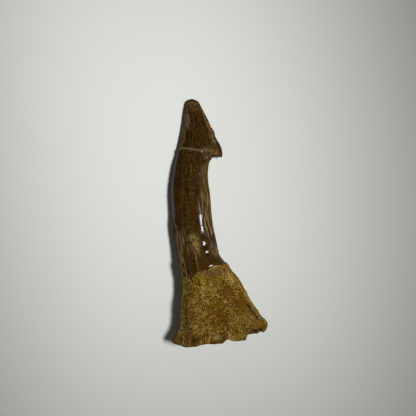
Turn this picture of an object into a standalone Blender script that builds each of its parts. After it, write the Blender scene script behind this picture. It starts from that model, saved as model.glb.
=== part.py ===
"""Fossil sawfish rostral tooth: a barbed, enamel-covered crown on a flared, porous root.

The tooth grew as one piece, so it is one solid. It lies on its flat side, as it would on a table.
It is a loft. Rows run from the tip to the end of the root, and each row goes once round the tooth:
angle 0 is the rounded front edge (-X), 90 the middle of the upper face, 180 the back edge, which
carries the barb (+X), and 270 the middle of the underside.

Frame: metres, +Z up, +Y towards the tip, origin under the middle of the tooth on the table.
The numbers below are millimetres. "Station" is the distance from the tip, along the front edge.
"""

import math

import bmesh
import bpy
import numpy as np
from mathutils import Vector, noise

NAME = "rostral_tooth"
MM = 0.001

# --- driving dimensions, in millimetres -------------------------------------------------------
LENGTH = 50.0
ROOT_END = 49.4  # station where the front edge of the root ends
TIP_RADIUS = 0.9  # the point is worn round
ENAMEL_STEP = 0.16  # the crown's enamel stands this far above the dentine
CRACK_DEPTH = 0.14
CRACK_HALF_WIDTH = 0.16
CRACK_FADE = (0.35, 0.80)  # the crack is filled between these shares of the half width, at the barb
COLUMNS = 56  # points round the tooth

# Front edge, seen from above: station, and distance across from the tip (+ is the barb's side).
FRONT_EDGE = (
    (0.0, -1.25), (2.4, -1.64), (6.6, -2.13), (8.6, -2.48), (10.2, -2.80), (13.7, -3.62),
    (18.7, -4.20), (23.4, -3.96), (26.0, -3.92), (28.9, -3.46), (32.9, -2.73), (36.8, -2.08),
    (38.8, -2.07), (40.8, -2.30), (44.4, -2.42), (45.8, -2.50), (47.0, -3.02), (48.2, -3.55),
    (ROOT_END, -3.75),
)  # fmt: skip
# Back edge without its barb, the same way.
BACK_EDGE = (
    (0.0, 1.15), (2.4, 2.37), (6.0, 4.06), (8.6, 4.54), (10.8, 4.10), (12.7, 3.42), (14.7, 3.20),
    (20.8, 3.72), (24.8, 4.08), (28.9, 4.83), (32.9, 5.88), (34.8, 7.00), (36.8, 7.72),
    (38.8, 8.90), (42.8, 11.04), (46.4, 13.62), (47.4, 14.60), (48.4, 14.87), (ROOT_END, 14.55),
)  # fmt: skip
# How much further from the tip a row's back end is than its front end.
BACK_LAG = (
    (0.0, 0.0), (5.0, 0.0), (8.6, 0.4), (10.8, 0.7), (12.7, 0.5), (16.7, 0.0), (26.7, -0.2),
    (30.8, -0.7), (34.8, -1.8), (38.8, -3.3), (44.4, -3.4), (47.0, -2.9), (ROOT_END, -2.75),
)  # fmt: skip
# The barb pulls the back edge outwards and down, up to its point, and ends in an undercut there.
BARB_POINT = 11.1
BARB_OUT = (
    (5.6, 0.0), (6.6, 0.44), (7.1, 0.40), (7.8, 0.64), (8.6, 1.15), (10.2, 1.99), (10.8, 2.14),
    (BARB_POINT, 2.05),
)  # fmt: skip
BARB_DOWN = ((5.6, 0.0), (7.8, 0.18), (10.2, 0.18), (10.8, 0.24), (BARB_POINT, 0.46))
FILLET_OUT = ((BARB_POINT, 0.50), (11.5, 0.24), (12.0, 0.05), (12.6, 0.0))
FILLET_DOWN = 0.45  # how far down the fillet under the barb goes for each millimetre out
BARB_ROOT = 0.5  # share of the half width where the barb starts to leave the crown

# Half the thickness, and the gap under the middle of the underside. Where the gap is below
# zero the tooth rests, on a small worn flat.
HALF_THICKNESS = (
    (0.0, 0.60), (2.3, 0.86), (4.5, 1.06), (6.5, 1.26), (8.6, 1.44), (10.8, 1.62), (13.0, 1.79),
    (16.7, 1.97), (20.5, 2.12), (23.2, 2.17), (28.0, 2.18), (30.0, 2.31), (33.0, 2.76),
    (36.0, 3.12), (40.0, 3.32), (44.8, 3.54), (47.6, 3.66), (ROOT_END, 3.56),
)  # fmt: skip
GAP_UNDER = (
    (0.0, 0.20), (4.3, 0.0), (7.3, -0.08), (10.3, -0.05), (13.0, 0.08), (16.7, 0.05),
    (20.5, 0.08), (23.0, 0.14), (27.0, 0.22), (30.0, 0.34), (33.0, 0.43), (36.0, 0.26),
    (40.0, 0.10), (44.8, 0.0), (47.6, -0.06), (ROOT_END, -0.03),
)  # fmt: skip
# Section: height = (1 - |u| ** flatness) ** roundness, where u runs from -1 to 1 across.
FLATNESS = (
    (0.0, 2.2), (4.0, 2.5), (9.0, 2.6), (13.0, 2.5), (17.0, 2.6), (26.0, 2.7), (34.0, 2.7),
    (40.0, 2.9), (ROOT_END, 3.0),
)  # fmt: skip
ROUNDNESS = (
    (0.0, 0.62), (4.0, 0.78), (9.0, 0.80), (13.0, 0.62), (17.0, 0.56), (24.0, 0.54),
    (38.0, 0.48), (ROOT_END, 0.44),
)  # fmt: skip

# End of the root: how far each place along it hangs below the straight line between its corners.
# u is -1 at the front corner and 1 at the back one.
END_LOBES = (
    (-1.0, -0.70), (-0.95, -0.58), (-0.82, -0.22), (-0.70, 0.22), (-0.60, 0.22), (-0.42, 0.15),
    (-0.25, 0.12), (0.0, 0.36), (0.09, 0.36), (0.15, -0.16), (0.20, -0.12), (0.27, 0.22),
    (0.55, 0.52), (0.62, 0.60), (0.76, 0.55), (0.86, 0.50), (0.93, -0.02), (0.97, -0.22),
    (1.0, -0.48),
)  # fmt: skip
LOBE_START = 43.5  # station where the lobes begin to show
BREAK = (0.56, 0.60, 0.88, 0.95)  # a piece is broken off the upper rim between these u
BREAK_DEPTH = 1.8
BREAK_RISE = 2.2  # the break starts this far from the end
# The end itself is closed by loops that step in to the floor of a furrow along it. Each loop has
# this share of the rim's thickness.
BASE_LOOPS = (0.90, 0.74, 0.52, 0.28, 0.10)
BASE_HOLLOW = 1.7  # depth of the furrow
BASE_HOLLOW_BEND = 0.8  # below 1 the floor is steep at the rim and level in the middle
BASE_HOLLOW_FADE = 0.9  # how far the furrow runs out towards its two corners
BASE_TAPER = 0.14  # how much shorter the furrow's floor is than its rim
BASE_LUMPS = (1.1, 0.25)  # size and depth of the lumps in the furrow

# Lower edge of the enamel, going round: angle in degrees, and station.
ENAMEL_END = (
    (0, 33.4), (30, 33.6), (40, 34.6), (47, 36.1), (53, 36.7), (62, 36.1), (73, 35.5), (88, 35.4),
    (101, 35.1), (118, 34.7), (140, 34.7), (180, 34.6), (225, 35.3), (260, 36.3), (300, 35.4),
    (330, 34.2), (360, 33.4),
)  # fmt: skip
ENAMEL_EDGE = 0.12  # half the length over which the enamel ends
ROOT_EDGE = 0.3  # half the length over which the root's lumps begin
# Bare dentine: a band along the back edge, and a worn patch low on the front edge. Each has a
# half angle at each station, on either side of the edge it follows.
BACK_BAND = (
    (11.6, 0.0), (12.1, 25.0), (13.3, 44.0), (16.7, 50.0), (20.7, 58.0), (23.7, 54.0),
    (28.0, 54.0), (30.0, 42.0), (31.8, 0.0),
)  # fmt: skip
FRONT_WORN = (
    (24.2, 0.0), (25.6, 40.0), (27.2, 54.0), (29.2, 62.0), (30.6, 60.0), (32.0, 50.0), (34.2, 46.0),
    (37.0, 46.0),
)  # fmt: skip
WORN_EDGE = 7.0  # half the angle over which the enamel wears through
# Break across the tip, mended: angle in degrees, and station.
CRACK = (
    (0, 10.7), (20, 10.45), (32, 10.15), (51, 10.08), (92, 10.19), (113, 10.19), (127, 10.0),
    (140, 9.9), (180, 9.8), (250, 10.1), (320, 10.5), (360, 10.7),
)  # fmt: skip

# Dents: angle in degrees, station, half length along, half width across, depth.
DENTS = (
    (89.0, 29.8, 1.9, 0.50, 0.24),  # worn groove in the middle of the upper face
    (111.0, 28.8, 0.70, 0.97, 0.18),  # chips in the enamel beside it
    (113.4, 30.84, 0.65, 1.00, 0.33),
    (277.0, 27.5, 2.4, 0.50, 0.18),  # the same wear on the underside
    (40.0, 35.5, 0.35, 0.40, 0.20),  # pit at the enamel's edge
    (36.5, 42.6, 2.4, 0.50, 0.34),  # grooves along both edges of the root
    (159.5, 43.6, 1.7, 0.50, 0.30),
    (150.5, 46.2, 1.6, 0.50, 0.30),
    (329.0, 43.7, 3.0, 0.55, 0.32),
    (210.0, 44.2, 3.0, 0.50, 0.30),
    (61.0, 49.0, 1.7, 0.60, 0.45),  # furrows in the rim of the root
    (83.0, 49.4, 0.9, 0.50, 0.18),
    (99.0, 49.3, 1.2, 0.50, 0.28),
    (128.0, 49.2, 1.3, 0.50, 0.28),
    (236.0, 48.9, 1.6, 0.60, 0.40),
    (262.0, 49.2, 1.4, 0.55, 0.30),
    (301.0, 48.8, 1.8, 0.60, 0.42),
    (72.5, 37.8, 0.9, 0.45, 0.16),  # pits in the root
    (72.0, 41.5, 0.9, 0.80, 0.16),
    (104.0, 39.6, 0.8, 0.90, 0.15),
    (121.0, 43.8, 1.0, 0.80, 0.17),
    (88.0, 45.6, 0.8, 0.90, 0.15),
    (255.0, 41.0, 1.0, 0.90, 0.18),
    (285.0, 44.8, 0.9, 0.80, 0.17),
)
LUMPS = ((2.3, 0.19), (1.2, 0.12))  # size and height of the root's lumps
FLUTES_ROUND = 3.2  # flutes run lengthwise; this sets how many there are round the tooth
FLUTE_DRIFT = 14.0  # length over which a flute changes
BAND_FLUTES = 0.07  # height of the flutes where the dentine is bare
RIM_FLUTES = 0.30  # height of the flutes at the end of the root
RIM_FLUTE_LENGTH = 6.0

# Rows of points: first station, last station and number of rows in each run.
ROW_RUNS = (
    (1.5, 9.8, 14), (10.05, 10.8, 5), (BARB_POINT - 0.02, BARB_POINT + 0.05, 2), (11.4, 12.4, 3),
    (13.2, 34.2, 25), (34.7, 37.6, 9), (38.3, 47.6, 14), (48.1, ROOT_END, 4),
)  # fmt: skip
TIP_ROWS = 6
TIP_OPENING = 0.12  # in radians: how far round the worn point the first row is

FOSSIL_COLOUR = (0.085, 0.045, 0.012, 1.0)
FOSSIL_ROUGHNESS = 0.45


def curve(points, at):
    """Smooth curve through (place, value) points, read at the places given."""
    x, y = np.array(points, float).T
    slope = np.gradient(y, x)
    i = np.clip(np.searchsorted(x, at) - 1, 0, len(x) - 2)
    step = x[i + 1] - x[i]
    t = np.clip((at - x[i]) / step, 0, 1)
    rise = t * t * (3 - 2 * t)
    return (
        y[i] * (1 - rise)
        + y[i + 1] * rise
        + step * t * (1 - t) * (slope[i] * (1 - t) - slope[i + 1] * t)
    )


def smooth_step(low, high, value):
    """0 below low, 1 above high, and a smooth ramp between them."""
    t = np.clip((value - low) / (high - low), 0, 1)
    return t * t * (3 - 2 * t)


def angle_apart(a, b):
    """Degrees between two directions, from -180 to 180."""
    return (a - b + 180) % 360 - 180


def barb_reach(station):
    """How far out, and how far down, the barb pulls the back edge."""
    above = (station > BARB_OUT[0][0]) & (station <= BARB_POINT)
    below = station > BARB_POINT
    fillet = curve(FILLET_OUT, station)
    out = curve(BARB_OUT, station) * above + fillet * below
    down = curve(BARB_DOWN, station) * above + FILLET_DOWN * fillet * below
    return out, down


def end_shape(station, u, side):
    """How far the lobes of the root's end, and the break in it, move a point along the tooth."""
    lobes = curve(END_LOBES, u) * smooth_step(LOBE_START, ROOT_END, station) ** 2
    broken = smooth_step(*BREAK[:2], u) * (1 - smooth_step(*BREAK[2:], u)) * (side > 0)
    return lobes - BREAK_DEPTH * broken * smooth_step(ROOT_END - BREAK_RISE, ROOT_END, station)


def smooth_form(stations, angles):
    """The tooth without relief: distance across, distance down and height, one row a station."""
    s, angle = np.meshgrid(stations, angles, indexing="ij")
    u = -np.cos(np.radians(angle))
    side = np.where(angle <= 180, 1, -1)
    worn = np.sqrt(1 - np.clip(1 - s / TIP_RADIUS, 0, 1) ** 2)
    front, back = curve(FRONT_EDGE, s), curve(BACK_EDGE, s)
    out, dip = barb_reach(s)
    pull = smooth_step(BARB_ROOT, 1, u)
    across = (front + back) / 2 + (back - front) / 2 * u * worn + out * pull
    down = s + curve(BACK_LAG, s) * (1 + u) / 2 + dip * pull + end_shape(s, u, side)
    half = curve(HALF_THICKNESS, s)
    swell = (1 - np.abs(u) ** curve(FLATNESS, s)) ** curve(ROUNDNESS, s)
    height = half + curve(GAP_UNDER, s) + side * half * worn * swell
    return np.stack([across, down, height], axis=-1)


def outward(grid):
    """Unit vectors square to the surface at each point of a grid whose columns close round."""
    along = np.gradient(grid, axis=0)
    around = np.roll(grid, -1, axis=1) - np.roll(grid, 1, axis=1)
    normal = np.cross(along, around)
    return normal / np.linalg.norm(normal, axis=2, keepdims=True)


def enamel_cover(station, angle):
    """1 where the enamel covers the dentine, 0 where it is worn away or never was."""
    crown = 1 - smooth_step(-ENAMEL_EDGE, ENAMEL_EDGE, station - curve(ENAMEL_END, angle))
    back = np.abs(angle_apart(angle, 180))
    front = np.abs(angle_apart(angle, 0))
    in_band = (station > BACK_BAND[0][0]) & (station < BACK_BAND[-1][0])
    in_worn = station > FRONT_WORN[0][0]
    band = smooth_step(-WORN_EDGE, WORN_EDGE, curve(BACK_BAND, station) - back) * in_band
    worn = smooth_step(-WORN_EDGE, WORN_EDGE, curve(FRONT_WORN, station) - front) * in_worn
    return crown * (1 - band) * (1 - worn)


def dents(station, angle, girth):
    """Depth of the named dents. girth is the millimetres that one degree spans."""
    depth = np.zeros_like(station)
    for where, at, long, wide, deep in DENTS:
        sideways = angle_apart(angle, where) * girth / wide
        depth += deep * np.exp(-(((station - at) / long) ** 2) - sideways**2)
    return depth


def lumps(point):
    """Height of the root's low lumps at a point."""
    return sum(rise * noise.noise(Vector(point / size)) for size, rise in LUMPS)


def flutes(station, angle):
    """Lengthwise flutes, from -1 to 1."""
    turn = math.radians(angle)
    round_x, round_y = FLUTES_ROUND * math.cos(turn), FLUTES_ROUND * math.sin(turn)
    return noise.noise(Vector((round_x, round_y, station / FLUTE_DRIFT)))


def relief(station, angle, form):
    """How far each point stands out from the smooth form, in millimetres."""
    girth = np.linalg.norm(np.roll(form, -1, axis=1) - form, axis=2) * COLUMNS / 360
    enamel = enamel_cover(station, angle)
    root = smooth_step(-ROOT_EDGE, ROOT_EDGE, station - curve(ENAMEL_END, angle))
    bare = (1 - root) * (1 - enamel) * (station > BACK_BAND[0][0])
    crack = np.exp(-(((station - curve(CRACK, angle)) / CRACK_HALF_WIDTH) ** 2))
    crack *= 1 - smooth_step(*CRACK_FADE, -np.cos(np.radians(angle)))
    rim = smooth_step(ROOT_END - RIM_FLUTE_LENGTH, ROOT_END, station)
    fluting = np.vectorize(flutes)(station, angle) * (BAND_FLUTES * bare + RIM_FLUTES * rim)
    lumpiness = root * np.apply_along_axis(lumps, 2, form)
    step_and_crack = ENAMEL_STEP * enamel - CRACK_DEPTH * crack
    return step_and_crack - dents(station, angle, girth) + fluting + lumpiness


def row_stations():
    """Stations of the rows, closest at the tip, the barb, the crack and the enamel's edge."""
    tip = TIP_RADIUS * (1 - np.cos(np.linspace(TIP_OPENING, math.pi / 2, TIP_ROWS)))
    runs = [np.linspace(*run) for run in ROW_RUNS]
    return np.concatenate([tip, *runs])


def end_loops(rim):
    """Loops that close the root's end, from its rim in to the floor of the furrow."""
    mirror = np.roll(rim[::-1], 1, axis=0)
    ridge = (rim + mirror) / 2
    centre = ridge.mean(axis=0)
    line = rim[COLUMNS // 2] - rim[0]
    inwards = np.array([line[1], -line[0], 0.0]) / math.hypot(line[0], line[1])
    u = -np.cos(np.radians(np.arange(COLUMNS) * 360 / COLUMNS))
    depth = BASE_HOLLOW * np.sqrt(1 - BASE_HOLLOW_FADE * u**2)[:, None]
    size, rise = BASE_LUMPS
    loops = []
    for share in BASE_LOOPS:
        shorter = 1 - BASE_TAPER * (1 - share)
        loop = centre + (ridge - centre) * shorter + (rim - ridge) * share
        rough = rise * np.array([noise.noise(Vector(point / size)) for point in loop])[:, None]
        loops.append(loop + inwards * (depth * (1 - share) ** BASE_HOLLOW_BEND + rough))
    return loops


def tooth_points():
    """All loops of the tooth, from the tip to the floor of the furrow, in millimetres."""
    stations = row_stations()
    angles = np.arange(COLUMNS) * 360 / COLUMNS
    form = smooth_form(stations, angles)
    station, angle = np.broadcast_arrays(stations[:, None], angles[None, :])
    surface = form + outward(form) * relief(station, angle, form)[..., None]
    loops = np.concatenate([surface, end_loops(surface[-1])])
    placed = np.stack([loops[..., 0], -loops[..., 1], loops[..., 2]], axis=-1)
    placed[..., 2] = np.maximum(placed[..., 2], 0)
    low, high = placed.min(axis=(0, 1)), placed.max(axis=(0, 1))
    placed[..., :2] -= ((low + high) / 2)[:2]
    return placed * LENGTH / (high - low)[1]


def material(name, colour, roughness):
    """A plain finish."""
    made = bpy.data.materials.new(name)
    made.use_nodes = True
    shader = made.node_tree.nodes["Principled BSDF"]
    shader.inputs["Base Color"].default_value = colour
    shader.inputs["Roughness"].default_value = roughness
    return made


def close_loop(mesh, loop):
    """Strip of faces across a flattened loop, from its upper side to its underside."""
    for j in range(COLUMNS // 2):
        corners = (loop[j], loop[j + 1], loop[-j - 1], loop[-j % COLUMNS])
        mesh.faces.new(dict.fromkeys(corners))


def build_tooth():
    """The tooth as one closed mesh object."""
    mesh = bmesh.new()
    loops = [[mesh.verts.new(point * MM) for point in row] for row in tooth_points()]
    for upper, lower in zip(loops, loops[1:]):
        for j in range(COLUMNS):
            k = (j + 1) % COLUMNS
            mesh.faces.new((upper[j], lower[j], lower[k], upper[k]))
    close_loop(mesh, loops[0])
    close_loop(mesh, loops[-1])
    bmesh.ops.recalc_face_normals(mesh, faces=mesh.faces)
    data = bpy.data.meshes.new(NAME)
    mesh.to_mesh(data)
    mesh.free()
    data.materials.append(material("fossil_tooth", FOSSIL_COLOUR, FOSSIL_ROUGHNESS))
    data.shade_smooth()
    return bpy.data.objects.new(NAME, data)


def main():
    for old in list(bpy.data.objects):
        bpy.data.objects.remove(old)
    collection = bpy.data.collections.new("sawfish_rostral_tooth")
    bpy.context.scene.collection.children.link(collection)
    collection.objects.link(build_tooth())


main()
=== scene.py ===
"""Looks of the fossil sawfish rostral tooth: fine surface, finish, floor, light and camera.

The tooth is one loft, as in its solid. Rows run from the tip to the end of the root, and each row
goes once round the tooth: angle 0 is the rounded front edge, 90 the middle of the upper face, 180
the back edge with the barb, and 270 the middle of the underside. Form and relief are worked out
in millimetres. "Station" is the distance from the tip, along the front edge.
"""

import math

import bpy
import numpy as np
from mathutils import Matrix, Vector, noise


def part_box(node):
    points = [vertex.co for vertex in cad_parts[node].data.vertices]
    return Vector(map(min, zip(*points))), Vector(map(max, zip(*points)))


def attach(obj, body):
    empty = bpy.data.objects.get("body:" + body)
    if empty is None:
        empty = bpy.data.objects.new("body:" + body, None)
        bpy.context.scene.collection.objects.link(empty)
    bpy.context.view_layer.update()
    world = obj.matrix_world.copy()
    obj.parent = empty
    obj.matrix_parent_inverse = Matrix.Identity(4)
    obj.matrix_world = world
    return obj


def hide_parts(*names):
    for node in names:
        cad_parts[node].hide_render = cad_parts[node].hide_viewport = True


NODE = "rostral_tooth"
MM = 0.001

# --- form, in millimetres: the same values as the solid's ---------------------------------------
ROOT_END = 49.4  # station where the front edge of the root ends
TIP_RADIUS = 0.9  # the point is worn round
ENAMEL_STEP = 0.16  # the crown's enamel stands this far above the dentine
CRACK_DEPTH = 0.14
CRACK_HALF_WIDTH = 0.16
CRACK_FADE = (0.35, 0.80)  # the crack is filled between these shares of the half width, at the barb
BASE_HOLLOW = 1.7  # depth of the furrow that closes the root's end
BASE_HOLLOW_BEND = 0.8  # below 1 the floor is steep at the rim and level in the middle
BASE_HOLLOW_FADE = 0.9  # how far the furrow runs out towards its two corners
BASE_TAPER = 0.14  # how much shorter the furrow's floor is than its rim
# Front edge, seen from above: station, and distance across from the tip (+ is the barb's side).
FRONT_EDGE = (
    (0.0, -1.25), (2.4, -1.64), (6.6, -2.13), (8.6, -2.48), (10.2, -2.80), (13.7, -3.62),
    (18.7, -4.20), (23.4, -3.96), (26.0, -3.92), (28.9, -3.46), (32.9, -2.73), (36.8, -2.08),
    (38.8, -2.07), (40.8, -2.30), (44.4, -2.42), (45.8, -2.50), (47.0, -3.02), (48.2, -3.55),
    (ROOT_END, -3.75),
)  # fmt: skip
# Back edge without its barb, the same way.
BACK_EDGE = (
    (0.0, 1.15), (2.4, 2.37), (6.0, 4.06), (8.6, 4.54), (10.8, 4.10), (12.7, 3.42), (14.7, 3.20),
    (20.8, 3.72), (24.8, 4.08), (28.9, 4.83), (32.9, 5.88), (34.8, 7.00), (36.8, 7.72),
    (38.8, 8.90), (42.8, 11.04), (46.4, 13.62), (47.4, 14.60), (48.4, 14.87), (ROOT_END, 14.55),
)  # fmt: skip
# How much further from the tip a row's back end is than its front end.
BACK_LAG = (
    (0.0, 0.0), (5.0, 0.0), (8.6, 0.4), (10.8, 0.7), (12.7, 0.5), (16.7, 0.0), (26.7, -0.2),
    (30.8, -0.7), (34.8, -1.8), (38.8, -3.3), (44.4, -3.4), (47.0, -2.9), (ROOT_END, -2.75),
)  # fmt: skip
# The barb pulls the back edge outwards and down, up to its point, and ends in an undercut there.
BARB_POINT = 11.1
BARB_OUT = (
    (5.6, 0.0), (6.6, 0.44), (7.1, 0.40), (7.8, 0.64), (8.6, 1.15), (10.2, 1.99), (10.8, 2.14),
    (BARB_POINT, 2.05),
)  # fmt: skip
BARB_DOWN = ((5.6, 0.0), (7.8, 0.18), (10.2, 0.18), (10.8, 0.24), (BARB_POINT, 0.46))
FILLET_OUT = ((BARB_POINT, 0.50), (11.5, 0.24), (12.0, 0.05), (12.6, 0.0))
FILLET_DOWN = 0.45  # how far down the fillet under the barb goes for each millimetre out
BARB_ROOT = 0.5  # share of the half width where the barb starts to leave the crown
# Half the thickness, and the gap under the middle of the underside. Where the gap is below
# zero the tooth rests, on a small worn flat.
HALF_THICKNESS = (
    (0.0, 0.60), (2.3, 0.86), (4.5, 1.06), (6.5, 1.26), (8.6, 1.44), (10.8, 1.62), (13.0, 1.79),
    (16.7, 1.97), (20.5, 2.12), (23.2, 2.17), (28.0, 2.18), (30.0, 2.31), (33.0, 2.76),
    (36.0, 3.12), (40.0, 3.32), (44.8, 3.54), (47.6, 3.66), (ROOT_END, 3.56),
)  # fmt: skip
GAP_UNDER = (
    (0.0, 0.20), (4.3, 0.0), (7.3, -0.08), (10.3, -0.05), (13.0, 0.08), (16.7, 0.05),
    (20.5, 0.08), (23.0, 0.14), (27.0, 0.22), (30.0, 0.34), (33.0, 0.43), (36.0, 0.26),
    (40.0, 0.10), (44.8, 0.0), (47.6, -0.06), (ROOT_END, -0.03),
)  # fmt: skip
# Section: height = (1 - |u| ** flatness) ** roundness, where u runs from -1 to 1 across.
FLATNESS = (
    (0.0, 2.2), (4.0, 2.5), (9.0, 2.6), (13.0, 2.5), (17.0, 2.6), (26.0, 2.7), (34.0, 2.7),
    (40.0, 2.9), (ROOT_END, 3.0),
)  # fmt: skip
ROUNDNESS = (
    (0.0, 0.62), (4.0, 0.78), (9.0, 0.80), (13.0, 0.62), (17.0, 0.56), (24.0, 0.54),
    (38.0, 0.48), (ROOT_END, 0.44),
)  # fmt: skip
# End of the root: how far each place along it, from u = -1 to 1, hangs below a straight line.
END_LOBES = (
    (-1.0, -0.70), (-0.95, -0.58), (-0.82, -0.22), (-0.70, 0.22), (-0.60, 0.22), (-0.42, 0.15),
    (-0.25, 0.12), (0.0, 0.36), (0.09, 0.36), (0.15, -0.16), (0.20, -0.12), (0.27, 0.22),
    (0.55, 0.52), (0.62, 0.60), (0.76, 0.55), (0.86, 0.50), (0.93, -0.02), (0.97, -0.22),
    (1.0, -0.48),
)  # fmt: skip
LOBE_START = 43.5  # station where the lobes begin to show
BREAK = (0.56, 0.60, 0.88, 0.95)  # a piece is broken off the upper rim between these u
BREAK_DEPTH = 1.8
BREAK_RISE = 2.2  # the break starts this far from the end
# Lower edge of the enamel, going round: angle in degrees, and station.
ENAMEL_END = (
    (0, 33.4), (30, 33.6), (40, 34.6), (47, 36.1), (53, 36.7), (62, 36.1), (73, 35.5), (88, 35.4),
    (101, 35.1), (118, 34.7), (140, 34.7), (180, 34.6), (225, 35.3), (260, 36.3), (300, 35.4),
    (330, 34.2), (360, 33.4),
)  # fmt: skip
# Bare dentine: a band along the back edge, and a worn patch low on the front edge. Each has a
# half angle at each station, on either side of the edge it follows.
BACK_BAND = (
    (11.6, 0.0), (12.1, 25.0), (13.3, 44.0), (16.7, 50.0), (20.7, 58.0), (23.7, 54.0),
    (28.0, 54.0), (30.0, 42.0), (31.8, 0.0),
)  # fmt: skip
FRONT_WORN = (
    (24.2, 0.0), (25.6, 40.0), (27.2, 54.0), (29.2, 62.0), (30.6, 60.0), (32.0, 50.0), (34.2, 46.0),
    (37.0, 46.0),
)  # fmt: skip
# Break across the tip, mended: angle in degrees, and station.
CRACK = (
    (0, 10.7), (20, 10.45), (32, 10.15), (51, 10.08), (92, 10.19), (113, 10.19), (127, 10.0),
    (140, 9.9), (180, 9.8), (250, 10.1), (320, 10.5), (360, 10.7),
)  # fmt: skip
# Dents: angle in degrees, station, half length along, half width across, depth. The two chips
# weren't measured: a random search set them, so that the lamp's highlight falls as in the photo.
DENTS = (
    (89.0, 29.8, 1.9, 0.50, 0.24),  # worn groove in the middle of the upper face
    (111.0, 28.8, 0.70, 0.97, 0.18),  # chips in the enamel beside it
    (113.4, 30.84, 0.65, 1.00, 0.33),
    (277.0, 27.5, 2.4, 0.50, 0.18),  # the same wear on the underside
    (40.0, 35.5, 0.35, 0.40, 0.20),  # pit at the enamel's edge
    (36.5, 42.6, 2.4, 0.50, 0.34),  # grooves along both edges of the root
    (159.5, 43.6, 1.7, 0.50, 0.30),
    (150.5, 46.2, 1.6, 0.50, 0.30),
    (329.0, 43.7, 3.0, 0.55, 0.32),
    (210.0, 44.2, 3.0, 0.50, 0.30),
    (61.0, 49.0, 1.7, 0.60, 0.45),  # furrows in the rim of the root
    (83.0, 49.4, 0.9, 0.50, 0.18),
    (99.0, 49.3, 1.2, 0.50, 0.28),
    (128.0, 49.2, 1.3, 0.50, 0.28),
    (236.0, 48.9, 1.6, 0.60, 0.40),
    (262.0, 49.2, 1.4, 0.55, 0.30),
    (301.0, 48.8, 1.8, 0.60, 0.42),
    (72.5, 37.8, 0.9, 0.45, 0.16),  # pits in the root
    (72.0, 41.5, 0.9, 0.80, 0.16),
    (104.0, 39.6, 0.8, 0.90, 0.15),
    (121.0, 43.8, 1.0, 0.80, 0.17),
    (88.0, 45.6, 0.8, 0.90, 0.15),
    (255.0, 41.0, 1.0, 0.90, 0.18),
    (285.0, 44.8, 0.9, 0.80, 0.17),
)
LUMPS = ((2.3, 0.19), (1.2, 0.12))  # size and height of the root's lumps
FLUTES_ROUND = 3.2  # flutes run lengthwise; this sets how many there are round the tooth
FLUTE_DRIFT = 14.0  # length over which a flute changes
BAND_FLUTES = 0.07  # height of the flutes where the dentine is bare
RIM_FLUTES = 0.30  # height of the flutes at the end of the root
RIM_FLUTE_LENGTH = 6.0

# --- fine surface, in millimetres ---------------------------------------------------------------
COLUMNS = 240
FACE_CROWDING = 0.18  # moves columns from the two edges to the middles of the faces
ROW_RUNS = (  # first station, last station, rows
    (1.0, 9.3, 50), (9.4, 12.6, 46), (12.8, 34.0, 126), (34.1, 37.4, 40), (37.5, ROOT_END, 106),
)  # fmt: skip
TIP_ROWS = 12
TIP_OPENING = 0.06  # in radians: how far round the worn point the first row is
BASE_ROWS = 22
BASE_SHARES = (0.97, 0.03)  # thickness of the first and last loop of the base, as shares of the rim
GRAIN_ROUND = 3.5  # radius of the straightened tooth that lengthwise grain is worked out on
GRAIN_STRETCH = 12.0  # grain is this much longer than it is wide
ROOT_PITS = 1500
PIT_RADIUS = (0.07, 0.17)
PIT_DEPTH = 0.10
PIT_GROUND = 0.9  # pores lie where the root's mask is above this
PIT_SEED = 7
# Noise worked out at the mesh's points. Each layer has a weight, the size of its lumps and a seed.
RAGS = ((1.0, 0.7, 0.0), (0.5, 0.3, 0.0))
STREAKS = ((1.0, 0.4, 11.0),)
WEAR_RAGS = ((1.0, 0.9, 21.0), (0.6, 0.4, 22.0))
STRIAE = ((1.0, 0.42, 0.0), (0.6, 0.2, 3.0))
GRAINS = ((1.0, 0.42, 5.0), (0.8, 0.26, 9.0))
ENAMEL_WAVES = ((0.010, 1.6, 2.0),)
BARB_PITTING = ((1.0, 0.4, 4.0),)
BASE_ROUGHNESS = ((0.25, 1.1, 0.0), (0.12, 0.5, 0.0), (0.07, 0.25, 0.0))
BASE_ROUGH_START = 0.3  # share of that roughness at the base's first loop
# Heights of the fine relief.
ENAMEL_STRIAE = 0.005
BAND_STRIAE = 0.035
WORN_STRIAE = 0.020
LIP_HEIGHT = 0.03
ROOT_GRAIN = 0.050
ROOT_STRIAE = 0.03
RIM_STRIAE = 2  # how many times higher again the root's striae get at its end
RIM_STRIAE_LENGTH = 3.0
BARB_ROUGHNESS = 0.05
# Small marks: angle in degrees, station, half length, half width, depth (below zero: height). The
# rise, the groove and the swelling come from such searches too, and nothing else shows them.
SMALL_DENTS = (
    (88.5, 28.6, 0.22, 0.20, 0.22),  # dark pores in the worn groove
    (80.5, 29.2, 0.20, 0.22, 0.20),
    (72.0, 29.2, 0.18, 0.20, 0.16),
    (92.0, 31.0, 0.30, 0.16, 0.12),
    (17.0, 10.75, 0.25, 0.35, 0.12),  # gap where the mend meets the front edge
    (52.0, 3.8, 0.25, 0.12, 0.05),  # scuffs on the tip
    (60.0, 4.6, 0.30, 0.10, 0.05),
    (55.0, 5.7, 0.30, 0.12, 0.05),
    (92.0, 19.3, 0.12, 0.80, 0.03),  # scratch across the shaft
    (116.0, 23.5, 0.30, 0.9, 0.020),  # low ripples in the polish
    (116.0, 25.9, 0.32, 0.9, 0.024),
    (115.5, 25.6, 2.0, 0.8, 0.034),
    (115.15, 30.278, 0.483, 0.450, -0.172),  # rise between the two chips
    (122.84, 30.565, 0.790, 0.241, 0.132),  # groove beside them
    (116.9, 34.96, 0.38, 0.88, -0.18),  # swelling of the enamel's lower edge
    (72.5, 37.8, 0.50, 0.16, 0.14),  # long pore in the root
)

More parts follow.
